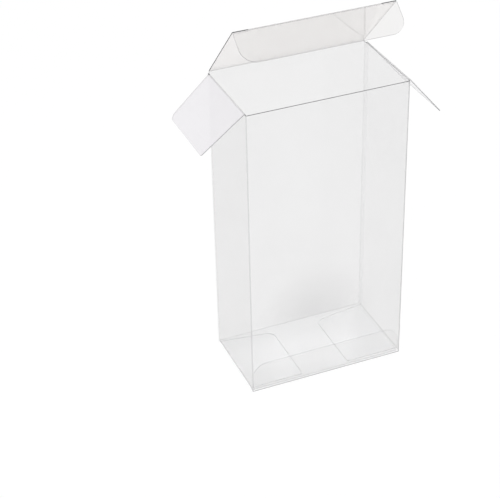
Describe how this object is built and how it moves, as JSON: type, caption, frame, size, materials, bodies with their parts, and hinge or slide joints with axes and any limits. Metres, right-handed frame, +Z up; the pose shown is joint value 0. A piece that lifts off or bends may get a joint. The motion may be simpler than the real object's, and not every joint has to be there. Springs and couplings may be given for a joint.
{
  "type": "game box protector",
  "caption": "Clear film box that guards a game box: a folded sleeve with a hinged tuck lid, dust flaps and a tucked bottom panel.",
  "frame": {"origin": "middle of the base, on the surface that the box stands on", "axes": "+Z up along the box's height, +X to the right along the front wall, +Y to the back wall, where the lid is hinged"},
  "size_m": [0.1153, 0.0446, 0.1804],
  "materials": {
    "clear_film": "clear glossy film",
    "clear_flap_film": "clear glossy film"
  },
  "bodies": {
    "sleeve": {"sleeve": "clear_film"},
    "lid": {"lid": "clear_flap_film"},
    "tuck_flap": {"tuck_flap": "clear_flap_film"},
    "left_dust_flap": {"left_dust_flap": "clear_flap_film"},
    "right_dust_flap": {"right_dust_flap": "clear_flap_film"},
    "bottom_panel": {"bottom_panel": "clear_flap_film"},
    "bottom_tuck_flap": {"bottom_tuck_flap": "clear_flap_film"}
  },
  "joints": [
    {"name": "lid_crease", "type": "hinge", "parent": "sleeve", "child": "lid", "pos_m": [0, 0.02205, 0.1493], "axis": [-1, 0, 0], "range_deg": [-46, 134], "stiffness_Nm_per_rad": 0.004},
    {"name": "tuck_crease", "type": "hinge", "parent": "lid", "child": "tuck_flap", "pos_m": [0, -0.00803, 0.18016], "axis": [-1, 0, 0], "range_deg": [-27, 78], "stiffness_Nm_per_rad": 0.002},
    {"name": "left_dust_crease", "type": "hinge", "parent": "sleeve", "child": "left_dust_flap", "pos_m": [-0.039, 0, 0.1483], "axis": [0, 1, 0], "range_deg": [-48, 127], "stiffness_Nm_per_rad": 0.002},
    {"name": "right_dust_crease", "type": "hinge", "parent": "sleeve", "child": "right_dust_flap", "pos_m": [0.039, 0, 0.1483], "axis": [0, -1, 0], "range_deg": [-35, 140], "stiffness_Nm_per_rad": 0.002},
    {"name": "bottom_crease", "type": "hinge", "parent": "sleeve", "child": "bottom_panel", "pos_m": [0, 0.02205, 0.0002], "axis": [1, 0, 0], "range_deg": [0, 90], "stiffness_Nm_per_rad": 0.004},
    {"name": "bottom_tuck_crease", "type": "hinge", "parent": "bottom_panel", "child": "bottom_tuck_flap", "pos_m": [0, -0.02105, 0.0004], "axis": [-1, 0, 0], "range_deg": [0, 62], "stiffness_Nm_per_rad": 0.002}
  ],
  "couplings": [
    {"joint": "tuck_crease", "follows": "lid_crease", "ratio": 0.58},
    {"joint": "bottom_tuck_crease", "follows": "bottom_crease", "ratio": 0.68}
  ]
}
